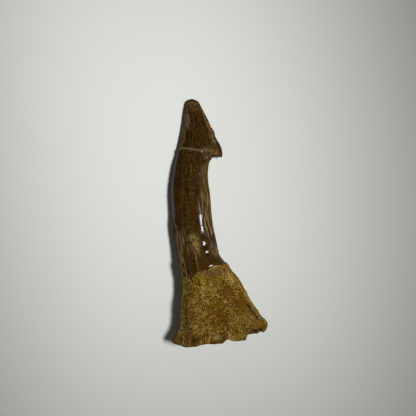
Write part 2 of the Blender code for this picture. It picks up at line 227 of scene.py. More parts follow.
# --- masks: lengths in millimetres, stations, or angles in degrees ------------------------------
ENAMEL_RAGS = 0.10  # how ragged the enamel's lower edge is
ENAMEL_BLUR = 0.06  # half the length over which it ends
BAND_STREAKS, BAND_RAGS = 5, 2  # how streaky and how ragged the edge of the back band is
BAND_SOFTNESS = ((11.6, 7.0), (16.0, 6.0), (21.0, 4.0), (26.0, 4.0), (31.8, 9.0))
WORN_STREAKS = 24
WORN_SOFTNESS = 8
WORN_ENAMEL = 0.5  # share of the enamel's height that is left where the front is worn
GLUE_RAGS = 0.06
GLUE_HALF_WIDTH = 0.19
GLUE_FADE = 0.75  # how much of the glue's colour is lost towards the barb
LIP_ABOVE_EDGE, LIP_HALF_WIDTH = 0.30, 0.22
LEFT_BEVEL = (
    (0.0, 50.0), (2.1, 50.0), (3.6, 58.0), (5.6, 55.0), (7.0, 45.0), (8.6, 41.0), (10.2, 36.0),
)  # fmt: skip
RIGHT_BEVEL = ((0.0, 145.0), (2.2, 139.0), (5.4, 135.0), (7.4, 136.0), (8.8, 140.0))
RIGHT_BEVEL_END = ((0.0, 200.0), (5.2, 200.0), (6.6, 164.0), (8.0, 153.0), (9.6, 150.0))
BEVEL_RAGS, LEFT_BEVEL_RAGS = 3.5, 4
LEFT_BEVEL_SOFTNESS, RIGHT_BEVEL_SOFTNESS = 6, 3
LEFT_BEVEL_FADE = (10.6, 10.0)
RIGHT_BEVEL_FADE = (9.6, 8.4)
TIP_WEAR = (
    (0.0, 1.6), (46.0, 2.0), (84.0, 2.15), (144.0, 1.8), (180.0, 1.5), (270.0, 2.2), (360.0, 1.6),
)  # fmt: skip
TIP_WEAR_RAGS, TIP_WEAR_SOFTNESS = 0.5, 0.8
BARB_MOTTLE_START, BARB_MOTTLE_END = (8.9, 10.4), (12.3, 11.2)
BARB_MOTTLE_ANGLES = (108, 142)
BARB_MOTTLE_RAGS = (0.5, 7)  # lengthwise and round the tooth
BAND_TAIL = ((150.0, 31.0, 2.4, 1.6, 1.0),)  # a patch of the same kind as the stains below
BAND_TAIL_EDGE = (0.3, 0.9)
DULL_SPOTS = ((115.0, 15.5, 1.4, 0.35, 1.0), (124.0, 11.5, 0.45, 0.55, 1.0))
BASE_FINE, BASE_STAIN, BASE_GRAIN = -0.05, 0.3, 0.3  # fine relief, stains and grain in the furrow; the low fine relief paints shade into the furrow's colour

# --- finish: linear colours ---------------------------------------------------------------------
ENAMEL_DARK = (0.0165, 0.0073, 0.0009, 1)
ENAMEL_BROWN = (0.061, 0.0290, 0.0052, 1)
ENAMEL_RED = (0.062, 0.0285, 0.0062, 1)
ENAMEL_WORN = (0.124, 0.080, 0.0290, 1)
TIP_WORN = (0.110, 0.060, 0.0150, 1)
DENTINE_DARK = (0.038, 0.020, 0.0040, 1)
DENTINE_OLIVE = (0.066, 0.0385, 0.0070, 1)
DENTINE_PALE = (0.262, 0.180, 0.0800, 1)
STRIPE_TAN = (0.195, 0.132, 0.0560, 1)
OCHRE_TAN = (0.300, 0.195, 0.0520, 1)
GLUE = (0.172, 0.114, 0.0500, 1)
BARB_RED = (0.046, 0.018, 0.0030, 1)
BARB_TAN = (0.150, 0.100, 0.0340, 1)
ROOT_DARK = (0.042, 0.017, 0.0004, 1)
ROOT_OCHRE = (0.152, 0.077, 0.0010, 1)
ROOT_PALE = (0.440, 0.308, 0.0860, 1)
ROOT_RUST = (0.118, 0.051, 0.0006, 1)
ROOT_GREY = (0.156, 0.093, 0.0320, 1)
ROOT_YELLOW = (0.215, 0.130, 0.0040, 1)
# Stains and pale patches: angle in degrees, station, half length, half width in millimetres,
# strength. Some pale patches are painted light.
RUST_STAINS = (
    (94.0, 45.2, 2.6, 2.4, 0.9), (119.0, 41.2, 1.7, 1.5, 1.0), (131.0, 44.0, 1.6, 1.3, 0.9),
    (112.0, 48.1, 1.2, 2.4, 0.4), (270.0, 42.0, 3.0, 3.0, 0.8),
)  # fmt: skip
GREY_STAINS = (
    (95.0, 36.3, 0.7, 1.2, 0.9), (111.0, 36.4, 0.8, 1.6, 1.0), (133.0, 36.0, 0.8, 1.2, 0.8),
    (30.0, 45.5, 2.4, 1.2, 0.7), (147.0, 45.2, 1.2, 1.0, 0.6), (63.0, 48.3, 0.8, 1.0, 0.8),
    (88.0, 48.7, 0.7, 2.6, 0.9), (140.0, 46.6, 1.7, 1.8, 0.4), (46.0, 47.4, 1.4, 1.4, 0.5),
    (111.5, 41.3, 0.7, 0.7, 0.6), (240.0, 38.8, 1.8, 2.5, 0.8), (300.0, 46.5, 2.2, 2.2, 0.6),
)  # fmt: skip
# Pale patches. The three at 22 to 31 degrees, by the root's front edge, are painted light on the
# side that faces away from the lamp; the rest are pale patches of the root.
PALE_STAINS_AND_LIGHT = (
    (141.0, 38.3, 1.5, 1.0, 0.9), (22.0, 40.5, 5.0, 0.5, 1.3), (24.0, 46.0, 1.6, 0.5, 1.3),
    (31.0, 43.3, 2.2, 0.45, 0.9), (111.0, 42.7, 0.4, 0.6, 1.3), (57.0, 41.3, 0.3, 0.4, 1.2),
    (162.0, 43.6, 2.6, 0.35, 1.0), (84.0, 48.4, 0.6, 2.6, 1.4), (112.0, 48.3, 0.4, 2.4, 0.3),
    (215.0, 41.0, 2.0, 1.2, 0.7),
)  # fmt: skip
YELLOW_STAINS = (
    (76.5, 37.0, 1.1, 0.9, 1.0), (79.0, 39.0, 1.3, 1.0, 1.0), (89.0, 29.9, 1.5, 0.70, 1.1),
    (88.0, 28.3, 0.8, 0.80, 1.0), (250.0, 37.8, 1.4, 1.2, 0.8),
)  # fmt: skip
STAINS = {
    "rust": RUST_STAINS, "grey": GREY_STAINS, "pale": PALE_STAINS_AND_LIGHT, "yellow": YELLOW_STAINS,
}  # fmt: skip
ROOT_STAIN_COLOURS = (  # stain, how far it covers the ochre, and its colour
    ("rust", 0.95, ROOT_RUST), ("grey", 0.6, ROOT_GREY), ("yellow", 0.85, ROOT_YELLOW),
)  # fmt: skip
# Fine lines: angle and station of both ends, half width in millimetres, strength.
# Pale lines. The one at 24 to 26 degrees along the front edge is a painted reflection, and the
# short one at 76 degrees on the enamel's lower edge is a painted highlight; the rest are scratches,
# scuffs and pale streaks.
PALE_LINES_AND_HIGHLIGHTS = (
    (91.0, 13.2, 94.0, 15.1, 0.10, 0.35), (80.0, 19.5, 101.0, 19.3, 0.10, 0.25),
    (48.0, 3.7, 53.0, 3.4, 0.13, 0.8), (58.0, 4.3, 60.0, 5.0, 0.11, 0.7),
    (50.0, 5.4, 56.0, 6.1, 0.14, 0.8), (45.0, 4.6, 46.0, 5.4, 0.11, 0.7),
    (85.0, 30.6, 83.5, 32.4, 0.12, 0.9), (83.5, 32.4, 80.0, 33.6, 0.12, 0.7),
    (80.0, 33.6, 75.5, 35.4, 0.11, 0.4), (24.0, 19.0, 26.0, 25.5, 0.32, 0.28),
    (76.0, 35.55, 77.0, 35.65, 0.14, 1.2),
)  # fmt: skip
# Dark lines. The one along the tip's edge, the three round the two chips and the two by the barb
# are painted shade; the rest darken pores, grooves and parts of the root.
DARK_LINES_AND_SHADE = (
    (144.5, 42.2, 148.0, 44.4, 0.15, 0.8), (148.0, 44.4, 151.0, 46.4, 0.18, 1.1),
    (40.5, 40.6, 38.5, 45.4, 0.20, 0.9), (8.0, 33.5, 32.0, 35.0, 0.70, 0.55),
    (72.5, 37.4, 73.0, 38.3, 0.14, 0.9), (55.0, 48.3, 66.0, 48.0, 0.38, 0.6),
    (28.5, 45.4, 27.0, 46.4, 0.25, 0.7), (46.0, 47.6, 58.0, 48.8, 0.60, 0.35),
    (50.0, 38.5, 46.0, 46.0, 0.90, 0.22), (40.5, 35.3, 40.5, 35.6, 0.16, 1.2),
    (88.5, 28.5, 88.5, 28.7, 0.16, 1.2), (80.0, 29.1, 80.5, 29.3, 0.16, 1.2),
    (72.0, 29.1, 73.0, 29.25, 0.14, 1.0), (85.0, 29.9, 86.0, 31.2, 0.10, 0.8),
    (80.0, 0.25, 105.0, 0.25, 0.28, 0.9), (109.0, 28.6, 124.0, 28.2, 0.13, 0.7),
    (109.0, 30.4, 119.0, 30.2, 0.12, 0.7), (111.0, 32.1, 121.0, 31.9, 0.12, 0.7),
    (150.0, 8.6, 155.0, 10.9, 0.34, 0.55), (166.0, 9.6, 166.0, 11.3, 0.50, 0.50),
)  # fmt: skip
# Noise in the materials: the coordinates it is laid out in, its scale per millimetre, its detail
# and its roughness.
NOISES = {
    "enamel_streaks": ("grain", 3.0, 4.0, 0.65),
    "red_mottles": ("skin", 0.55, 3.0, 0.6),
    "enamel_mottles": ("skin", 2.4, 3.0, 0.65),
    "scuffs": ("skin", 1.9, 4.0, 0.7),
    "barb_specks": ("skin", 2.1, 4.0, 0.65),
    "wide_striae": ("grain", 2.2, 2.0, 0.5),
    "striae": ("grain", 4.7, 2.0, 0.65),
    "root_grains": ("skin", 4.9, 1.0, 0.9),
    "root_patches": ("skin", 0.75, 2.0, 0.6),
    "root_fibres": ("grain", 4.4, 3.0, 0.6),
    "ochre_wear": ("skin", 3.2, 4.0, 0.7),
    "smudges": ("skin", 1.2, 3.0, 0.6),
    "bump_grain": ("skin", 5.5, 4.0, 0.7),
    "bump_striae": ("grain", 6.0, 3.0, 0.6),
}
# Smooth ramps in the materials: between which two values each runs, and what it is at both.
RAMPS = {
    "enamel_brown": (0.415, 0.585, 0.0, 1.0),
    "reddening": (26.0, 34.0, 0.1, 0.75),  # by station
    "red_mottles": (0.35, 0.62, 0.0, 1.0),
    "bevel_wear": (0.40, 0.56, 0.15, 1.0),
    "tip_wear": (0.42, 0.56, 0.0, 1.0),
    "barb_specks": (0.45, 0.55, 0.0, 1.0),
    "striae_strength": (16.5, 24.0, 0.20, 1.0),  # by station
    "striae_darkening": (26.0, 29.5, 0.0, 0.120),  # by station
    "dark_striae": (0.50, 0.46, 0.0, 1.0),
    "pale_striae": (0.51, 0.56, 0.0, 1.0),
    "relief_shade_and_light": (-0.12, 0.09, 0.0, 1.0),  # by height of the fine relief: painted shade in pits, painted light on raised grain
    "patch_contrast": (0.40, 0.60, 0.65, 1.35),
    "grey_contrast": (0.1, 0.9, 1.0, 0.95),
    "root_ochre": (0.30, 0.50, 0.0, 1.0),
    "pale_grains": (0.53, 0.63, 0.0, 1.0),
    "dark_pores": (0.475, 0.39, 0.0, 1.0),
    "dark_fibres": (0.51, 0.45, 0.0, 1.0),
    "fibrous_rim": (46.5, 48.6, 0.0, 0.60),  # by station
    "worn_streaks": (0.50, 0.55, 0.0, 1.0),
    "ochre_wear": (0.40, 0.56, 0.0, 1.0),
    "enamel_roughness": (0.3, 0.7, 0.10, 0.16),
    "dull_spots": (0.62, 0.65, 0.0, 1.0),
    "dulling": (0.02, 0.15, 0.0, 1.0),
}
NOISE_MIDDLE = 0.5  # contrast is raised and lowered round this level
STREAKS_IN_ENAMEL = 0.5  # the rest is mottles
WIDE_STRIAE_SHARE = 0.15
GRAINS_IN_ROOT = 0.84  # the rest is the fine relief, as painted shade in pits and painted light on raised grain
STAIN_DULLING = 0.6  # how far rust and grey hold back the pale grains
PALE_LIFT = 0.10  # how many more grains show pale in a pale patch
GLUE_COVER = 0.85
SPOT_FEATHER = 0.8  # how far the striae fray the dull spots
WORN_ROUGHNESS, ROOT_ROUGHNESS, FLOOR_ROUGHNESS = 0.9, 1.0, 0.95
TOOTH_SPECULAR, FLOOR_SPECULAR = 0.12, 0.1
BUMP_STRENGTH, BUMP_HEIGHT, STRIAE_BUMP = 0.9, 0.09, 0.4

# --- floor, light and camera, in metres ---------------------------------------------------------
FLOOR_HALF = 1.3
FLOOR_COLOUR = (0.787, 0.808, 0.767, 1)
LIGHT_PLACE = Vector((0.1759, 0.0120, 0.4102))
LIGHT_RADIUS = 0.052
# The pool of light was fitted to how bright the photo's floor is.
POOL_CENTRE = Vector((-0.0133, 0.0173, 0.0))
POOL_REACH = (0.0481, 0.1214)  # of the oval pool of light, across and along
POOL_TURN = 0.137  # in radians, from the length of the tooth
SPOT_POWER = 11.4
AMBIENT = 0.058
IMAGE_PIXELS = 416
PIXEL_SIZE = 0.2027 * MM  # what one pixel of the photo spans, at the height below
SHARP_HEIGHT = 3 * MM
CAMERA_HEIGHT = 0.152  # assumed, as for a phone held close; scale and centre were fitted for it
NEAR_CLIP = 0.01
CAMERA_CENTRE = (-2.30 * MM, 2.59 * MM)


def curve(points, at):
    """Smooth curve through (place, value) points, read at the places given."""
    x, y = np.array(points, float).T
    slope = np.gradient(y, x)
    i = np.clip(np.searchsorted(x, at) - 1, 0, len(x) - 2)
    step = x[i + 1] - x[i]
    t = np.clip((at - x[i]) / step, 0, 1)
    rise = t * t * (3 - 2 * t)
    return (
        y[i] * (1 - rise)
        + y[i + 1] * rise
        + step * t * (1 - t) * (slope[i] * (1 - t) - slope[i + 1] * t)
    )


def smooth_step(low, high, value):
    """0 below low, 1 above high, and a smooth ramp between them."""
    t = np.clip((value - low) / (high - low), 0, 1)
    return t * t * (3 - 2 * t)


def angle_apart(a, b):
    """Degrees between two directions, from -180 to 180."""
    return (a - b + 180) % 360 - 180


def noise_at(points, size=1.0, seed=0.0):
    """Smooth noise from -1 to 1. Its lumps are about size across."""
    flat = (points / size + seed).reshape(-1, 3).tolist()
    return np.array([noise.noise(point) for point in flat]).reshape(points.shape[:2])


def layered_noise(points, layers):
    """Sum of noise layers: weight, size of the lumps and seed of each."""
    return sum(weight * noise_at(points, size, seed) for weight, size, seed in layers)


def barb_reach(station):
    """How far out, and how far down, the barb pulls the back edge."""
    above = (station > BARB_OUT[0][0]) & (station <= BARB_POINT)
    below = station > BARB_POINT
    fillet = curve(FILLET_OUT, station)
    out = curve(BARB_OUT, station) * above + fillet * below
    down = curve(BARB_DOWN, station) * above + FILLET_DOWN * fillet * below
    return out, down


def end_shape(station, u, side):
    """How far the lobes of the root's end, and the break in it, move a point along the tooth."""
    lobes = curve(END_LOBES, u) * smooth_step(LOBE_START, ROOT_END, station) ** 2
    broken = smooth_step(*BREAK[:2], u) * (1 - smooth_step(*BREAK[2:], u)) * (side > 0)
    return lobes - BREAK_DEPTH * broken * smooth_step(ROOT_END - BREAK_RISE, ROOT_END, station)


def smooth_form(s, angle):
    """The tooth without relief: distance across, distance down and height."""
    u = -np.cos(np.radians(angle))
    side = np.where(angle <= 180, 1, -1)
    worn = np.sqrt(1 - np.clip(1 - s / TIP_RADIUS, 0, 1) ** 2)
    front, back = curve(FRONT_EDGE, s), curve(BACK_EDGE, s)
    out, dip = barb_reach(s)
    pull = smooth_step(BARB_ROOT, 1, u)
    across = (front + back) / 2 + (back - front) / 2 * u * worn + out * pull
    down = s + curve(BACK_LAG, s) * (1 + u) / 2 + dip * pull + end_shape(s, u, side)
    half = curve(HALF_THICKNESS, s)
    swell = (1 - np.abs(u) ** curve(FLATNESS, s)) ** curve(ROUNDNESS, s)
    height = half + curve(GAP_UNDER, s) + side * half * worn * swell
    return np.stack([across, down, height], axis=-1)


def outward(grid):
    """Unit vectors square to the surface at each point of a grid whose columns close round."""
    along = np.gradient(grid, axis=0)
    around = np.roll(grid, -1, axis=1) - np.roll(grid, 1, axis=1)
    normal = np.cross(along, around)
    return normal / np.linalg.norm(normal, axis=2, keepdims=True)


def patches(station, angle, girth, marks):
    """Sum of soft round patches: angle, station, half length, half width and strength of each."""
    total = np.zeros_like(station)
    for where, at, long, wide, strength in marks:
        sideways = angle_apart(angle, where) * girth / wide
        total += strength * np.exp(-(((station - at) / long) ** 2) - sideways**2)
    return total


def fine_lines(station, angle, girth, lines):
    """Sum of soft lines: angle and station of both ends, half width and strength of each."""
    total = np.zeros_like(station)
    for angle_0, station_0, angle_1, station_1, wide, strength in lines:
        across = angle_apart(angle, angle_0) * girth
        down = station - station_0
        run = (angle_1 - angle_0) * girth
        rise = station_1 - station_0
        share = np.clip((across * run + down * rise) / (run**2 + rise**2), 0, 1)
        apart = np.hypot(across - share * run, down - share * rise) / wide
        total += strength * np.exp(-(apart**2))
    return total


def grain_space(station, angle):
    """The straightened tooth, squeezed lengthwise, so that noise in it runs along the tooth."""
    turn = np.radians(angle)
    along = station / GRAIN_STRETCH
    return np.stack([GRAIN_ROUND * np.cos(turn), GRAIN_ROUND * np.sin(turn), along], axis=-1)


def flutes(station, angle):
    """Lengthwise flutes, from -1 to 1, as on the solid."""
    turn = np.radians(angle)
    along = station / FLUTE_DRIFT
    return noise_at(np.stack([FLUTES_ROUND * np.cos(turn), FLUTES_ROUND * np.sin(turn), along], -1))


def row_stations():
    """Stations of the rows, closest at the tip, the mended break and the enamel's edge."""
    tip = TIP_RADIUS * (1 - np.cos(np.linspace(TIP_OPENING, math.pi / 2, TIP_ROWS)))
    runs = [np.linspace(*run) for run in ROW_RUNS]
    return np.concatenate([tip, *runs])


def column_angles():
    """Angles of the columns, closest in the middles of the two faces."""
    even = np.arange(COLUMNS) * 2 * math.pi / COLUMNS
    return np.degrees(even + FACE_CROWDING * np.sin(2 * even))


def surface_masks(station, angle, form, grain):
    """Where enamel, dentine, glue and root show, as arrays from 0 to 1."""
    ragged = layered_noise(form, RAGS)
    streaky = layered_noise(grain, STREAKS)
    edge = station - curve(ENAMEL_END, angle) - ENAMEL_RAGS * ragged
    crown = 1 - smooth_step(-ENAMEL_BLUR, ENAMEL_BLUR, edge)
    back = np.abs(angle_apart(angle, 180)) + BAND_STREAKS * streaky + BAND_RAGS * ragged
    front = np.abs(angle_apart(angle, 0)) + WORN_STREAKS * streaky
    in_band = (station > BACK_BAND[0][0]) & (station < BACK_BAND[-1][0])
    in_worn = station > FRONT_WORN[0][0]
    soft = curve(BAND_SOFTNESS, station)
    band = smooth_step(-soft, soft, curve(BACK_BAND, station) - back) * in_band
    worn_depth = curve(FRONT_WORN, station) - front
    worn = smooth_step(-WORN_SOFTNESS, WORN_SOFTNESS, worn_depth) * in_worn
    from_crack = station - curve(CRACK, angle) - GLUE_RAGS * ragged
    crack_fade = 1 - GLUE_FADE * smooth_step(*CRACK_FADE, -np.cos(np.radians(angle)))
    return {
        "enamel": crown * (1 - band) * (1 - WORN_ENAMEL * worn),
        "band": crown * band,
        "front_worn": crown * worn * (1 - band),
        "root": 1 - crown,
        "crack": np.exp(-((from_crack / GLUE_HALF_WIDTH) ** 2)) * crack_fade,
        "lip": crown * np.exp(-(((edge + LIP_ABOVE_EDGE) / LIP_HALF_WIDTH) ** 2)),
    }


def wear_masks(station, angle, form):
    """Where the cap's edges and tip are worn, and where the barb is mottled, from 0 to 1."""
    ragged = layered_noise(form, WEAR_RAGS)
    upper = np.where(angle <= 180, angle, 360 - angle) + BEVEL_RAGS * ragged
    inside_left = curve(LEFT_BEVEL, station) - upper - LEFT_BEVEL_RAGS * ragged
    left = smooth_step(-LEFT_BEVEL_SOFTNESS, LEFT_BEVEL_SOFTNESS, inside_left)
    left *= smooth_step(*LEFT_BEVEL_FADE, station)
    soft = RIGHT_BEVEL_SOFTNESS
    right = smooth_step(-soft, soft, upper - curve(RIGHT_BEVEL, station))
    right *= smooth_step(*RIGHT_BEVEL_FADE, station)
    right *= smooth_step(soft, -soft, upper - curve(RIGHT_BEVEL_END, station))
    inside_tip = curve(TIP_WEAR, angle) - station + TIP_WEAR_RAGS * ragged
    tip = smooth_step(-TIP_WEAR_SOFTNESS, TIP_WEAR_SOFTNESS, inside_tip)
    barb = smooth_step(*BARB_MOTTLE_START, station + BARB_MOTTLE_RAGS[0] * ragged)
    barb *= smooth_step(*BARB_MOTTLE_END, station)
    barb *= smooth_step(*BARB_MOTTLE_ANGLES, upper + BARB_MOTTLE_RAGS[1] * ragged)
    return {"bevel": np.maximum(left, right) * (1 - tip), "tip_wear": tip, "barb": barb}


def scattered_pits(form, root):
    """Depth of small round pores, strewn over the root."""
    strewn = np.random.default_rng(PIT_SEED)
    rows, columns = np.nonzero(root > PIT_GROUND)
    picks = strewn.integers(0, len(rows), ROOT_PITS)
    radii = strewn.uniform(*PIT_RADIUS, ROOT_PITS)
    depth = np.zeros(form.shape[:2])
    skin = form[rows, columns]
    found = np.zeros(len(rows))
    for pick, radius in zip(picks, radii):
        apart = np.linalg.norm(skin - skin[pick], axis=1) / radius
        found = np.maximum(found, PIT_DEPTH * radius / PIT_RADIUS[1] * np.exp(-(apart**2)))
    depth[rows, columns] = found
    return depth


def main_relief(station, angle, form, girth, masks):
    """The relief that the solid has too."""
    bare = (1 - masks["root"]) * (1 - masks["enamel"]) * (station > BACK_BAND[0][0])
    crack = np.exp(-(((station - curve(CRACK, angle)) / CRACK_HALF_WIDTH) ** 2))
    crack *= 1 - smooth_step(*CRACK_FADE, -np.cos(np.radians(angle)))
    rim = smooth_step(ROOT_END - RIM_FLUTE_LENGTH, ROOT_END, station)
    fluting = flutes(station, angle) * (BAND_FLUTES * bare + RIM_FLUTES * rim)
    lumpiness = masks["root"] * sum(rise * noise_at(form, size) for size, rise in LUMPS)
    step_and_crack = ENAMEL_STEP * masks["enamel"] - CRACK_DEPTH * crack
    return step_and_crack - patches(station, angle, girth, DENTS) + fluting + lumpiness


def fine_relief(station, angle, form, girth, grain, masks):
    """Striae, grain, pores, the enamel's lip and small marks."""
    near_rim = smooth_step(ROOT_END - RIM_STRIAE_LENGTH, ROOT_END, station)
    striae = layered_noise(grain, STRIAE)
    grains = layered_noise(form, GRAINS)
    enamel = ENAMEL_STRIAE * striae + layered_noise(form, ENAMEL_WAVES)
    root = ROOT_GRAIN * grains + ROOT_STRIAE * striae * (1 + RIM_STRIAE * near_rim)
    return (
        masks["enamel"] * enamel
        + (BAND_STRIAE * masks["band"] + WORN_STRIAE * masks["front_worn"]) * striae
        + masks["lip"] * LIP_HEIGHT
        + masks["root"] * root
        + masks["barb"] * BARB_ROUGHNESS * layered_noise(form, BARB_PITTING)
        - scattered_pits(form, masks["root"])
        - patches(station, angle, girth, SMALL_DENTS)
    )


def end_loops(rim, angles):
    """Loops that close the root's end, from its rim in to the floor of the furrow."""
    mirror = np.roll(rim[::-1], 1, axis=0)
    ridge = (rim + mirror) / 2
    centre = ridge.mean(axis=0)
    line = rim[COLUMNS // 2] - rim[0]
    inwards = np.array([line[1], -line[0], 0.0]) / math.hypot(line[0], line[1])
    u = -np.cos(np.radians(angles))
    depth = BASE_HOLLOW * np.sqrt(1 - BASE_HOLLOW_FADE * u**2)[:, None]
    loops = []
    for share in np.linspace(*BASE_SHARES, BASE_ROWS):
        shorter = 1 - BASE_TAPER * (1 - share)
        loop = centre + (ridge - centre) * shorter + (rim - ridge) * share
        loops.append(loop + inwards * depth * (1 - share) ** BASE_HOLLOW_BEND)
    loops = np.array(loops)
    fade = np.linspace(BASE_ROUGH_START, 1, BASE_ROWS)[:, None]
    return loops + inwards * (layered_noise(loops, BASE_ROUGHNESS) * fade)[..., None]


def placed_in_frame(loops):
    """The loops in metres, turned, shifted and scaled into the frame's box."""
    placed = np.stack([loops[..., 0], -loops[..., 1], loops[..., 2]], axis=-1)
    placed[..., 2] = np.maximum(placed[..., 2], 0)
    low, high = (np.array(corner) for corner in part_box(NODE))
    mesh_low, mesh_high = placed.min(axis=(0, 1)), placed.max(axis=(0, 1))
    scale = (high - low)[1] / (mesh_high - mesh_low)[1]
    placed[..., :2] -= ((mesh_low + mesh_high) / 2)[:2]
    placed *= scale
    placed[..., :2] += ((low + high) / 2)[:2]
    return placed


def loop_faces(rows):
    """Corner numbers of the faces: the skin between loops, and a strip across each end loop."""
    ring = np.arange(COLUMNS)
    following = (ring + 1) % COLUMNS
    upper = np.arange(rows - 1)[:, None] * COLUMNS
    lower = upper + COLUMNS
    corners = (upper + ring, upper + following, lower + following, lower + ring)
    faces = np.stack(corners, axis=-1).reshape(-1, 4).tolist()
    last = (rows - 1) * COLUMNS
    for column in range(COLUMNS // 2):
        strip = (column, -column % COLUMNS, (-column - 1) % COLUMNS, column + 1)
        distinct = list(dict.fromkeys(strip))
        faces.append(distinct)
        faces.append([last + corner for corner in reversed(distinct)])
    return faces


def add_attribute(mesh, name, values):
    """Stores one value, or one vector, at each point of the mesh for the material to read."""
    kind, field = ("FLOAT", "value") if values.ndim == 2 else ("FLOAT_VECTOR", "vector")
    attribute = mesh.attributes.new(name, kind, "POINT")
    attribute.data.foreach_set(field, values.reshape(-1).astype(np.float32))


def with_base(skin, base_value):
    """A mask carried on from the skin over the loops of the root's end."""
    return np.concatenate([skin, np.full((BASE_ROWS, COLUMNS), base_value)])


def build_tooth():
    """The tooth's visible mesh, with the masks that its material reads."""
    station, angle = np.meshgrid(row_stations(), column_angles(), indexing="ij")
    form = smooth_form(station, angle)
    turn = np.diff(angle, axis=1, append=angle[:, :1] + 360)
    girth = np.linalg.norm(np.roll(form, -1, axis=1) - form, axis=2) / turn
    grain = grain_space(station, angle)
    masks = surface_masks(station, angle, form, grain) | wear_masks(station, angle, form)
    fine = fine_relief(station, angle, form, girth, grain, masks)
    relief = main_relief(station, angle, form, girth, masks) + fine
    tail = smooth_step(*BAND_TAIL_EDGE, patches(station, angle, girth, BAND_TAIL))
    masks["front_worn"] = np.maximum(masks["front_worn"], tail * (1 - masks["root"]))
    surface = form + outward(form) * relief[..., None]
    base = end_loops(surface[-1], angle[0])
    loops = np.concatenate([surface, base])
    points = placed_in_frame(loops)

    mesh = bpy.data.meshes.new("fossil_tooth")
    mesh.from_pydata(points.reshape(-1, 3).tolist(), [], loop_faces(len(points)))
    mesh.shade_smooth()
    for name in ("band", "front_worn", "crack", "bevel", "tip_wear", "barb"):
        add_attribute(mesh, name, with_base(masks[name], 0.0))
    add_attribute(mesh, "root", with_base(masks["root"], 1.0))
    add_attribute(mesh, "fine", with_base(fine, BASE_FINE))
    for name, marks in STAINS.items():
        add_attribute(mesh, name, with_base(patches(station, angle, girth, marks), BASE_STAIN))
    for name, lines in (("pale_lines_and_highlights", PALE_LINES_AND_HIGHLIGHTS), ("dark_lines_and_shade", DARK_LINES_AND_SHADE)):
        add_attribute(mesh, name, with_base(fine_lines(station, angle, girth, lines), 0.0))
    dull_spots = patches(station, angle, girth, DULL_SPOTS)
    add_attribute(mesh, "dull_spots", with_base(dull_spots, 0.0))
    grain_end = np.broadcast_to(grain[-1], base.shape) + BASE_GRAIN * (base - surface[-1])
    add_attribute(mesh, "grain", np.concatenate([grain, grain_end]))
    add_attribute(mesh, "skin", loops)
    add_attribute(mesh, "station", with_base(station, ROOT_END))
    return bpy.data.objects.new("tooth", mesh)


class NodeBuilder:
    """Short ways to add shader nodes. A socket's value is a number, a colour or another socket."""

    def __init__(self, material):
        self.tree = material.node_tree
        self.shader = self.tree.nodes["Principled BSDF"]

    def add(self, kind, values=None, **settings):
        made = self.tree.nodes.new(kind)
        for name, setting in settings.items():
            setattr(made, name, setting)
        for key, value in (values or {}).items():
            self.feed(made.inputs[key], value)
        return made

    def feed(self, socket, value):
        if isinstance(value, bpy.types.NodeSocket):
            self.tree.links.new(value, socket)
        else:
            socket.default_value = value

    def mask(self, name):
        return self.add("ShaderNodeAttribute", attribute_name=name).outputs["Fac"]

    def noise(self, name):
        place, scale, detail, roughness = NOISES[name]
        at = self.add("ShaderNodeAttribute", attribute_name=place).outputs["Vector"]
        values = {"Vector": at, "Scale": scale, "Detail": detail, "Roughness": roughness}
        return self.add("ShaderNodeTexNoise", values).outputs["Fac"]

    def ramp(self, value, name):
        low, high, start, end = RAMPS[name]
        values = {"Value": value, "From Min": low, "From Max": high, "To Min": start, "To Max": end}
        made = self.add("ShaderNodeMapRange", values, interpolation_type="SMOOTHSTEP")
        return made.outputs["Result"]

    def math(self, operation, first, second):
        return self.add("ShaderNodeMath", {0: first, 1: second}, operation=operation).outputs[0]

    def sum(self, first, second):
        return self.math("ADD", first, second)

    def difference(self, first, second):
        return self.math("SUBTRACT", first, second)

    def product(self, first, second):
        return self.math("MULTIPLY", first, second)

    def highest(self, value, *others):
        for other in others:
            value = self.math("MAXIMUM", value, other)
        return value

    def weighted(self, first, second, share):
        """Sum of two values, where share is the weight of the first."""
        return self.sum(self.product(first, share), self.product(second, 1 - share))

    def blend(self, share, first, second):
        values = {0: share, 6: first, 7: second}
        return self.add("ShaderNodeMix", values, data_type="RGBA").outputs[2]

    def between(self, share, first, second):
        values = {0: share, 2: first, 3: second}
        return self.add("ShaderNodeMix", values, data_type="FLOAT").outputs[0]


def enamel_colour(n):
    """Dark brown enamel with lengthwise streaks, redder towards the root, worn along its edges."""
    uneven = n.weighted(n.noise("enamel_streaks"), n.noise("enamel_mottles"), STREAKS_IN_ENAMEL)
    brown = n.blend(n.ramp(uneven, "enamel_brown"), ENAMEL_DARK, ENAMEL_BROWN)
    low = n.ramp(n.mask("station"), "reddening")
    red = n.product(low, n.ramp(n.noise("red_mottles"), "red_mottles"))
    brown = n.blend(red, brown, ENAMEL_RED)
    scuffs = n.noise("scuffs")
    worn = n.product(n.mask("bevel"), n.ramp(scuffs, "bevel_wear"))
    brown = n.blend(worn, brown, ENAMEL_WORN)
    tip = n.product(n.mask("tip_wear"), n.ramp(scuffs, "tip_wear"))
    brown = n.blend(tip, brown, TIP_WORN)
    barb = n.blend(n.ramp(n.noise("barb_specks"), "barb_specks"), BARB_RED, BARB_TAN)
    return n.blend(n.mask("barb"), brown, barb)


def dentine_colour(n):
    """Olive dentine with long dark and pale striae, strongest towards the root."""
    striae = n.weighted(n.noise("wide_striae"), n.noise("striae"), WIDE_STRIAE_SHARE)
    strength = n.ramp(n.mask("station"), "striae_strength")
    level = n.difference(striae, n.ramp(n.mask("station"), "striae_darkening"))
    dark = n.product(n.ramp(level, "dark_striae"), strength)
    pale = n.product(n.ramp(level, "pale_striae"), strength)
    olive = n.blend(dark, DENTINE_OLIVE, DENTINE_DARK)
    return n.blend(pale, olive, DENTINE_PALE)


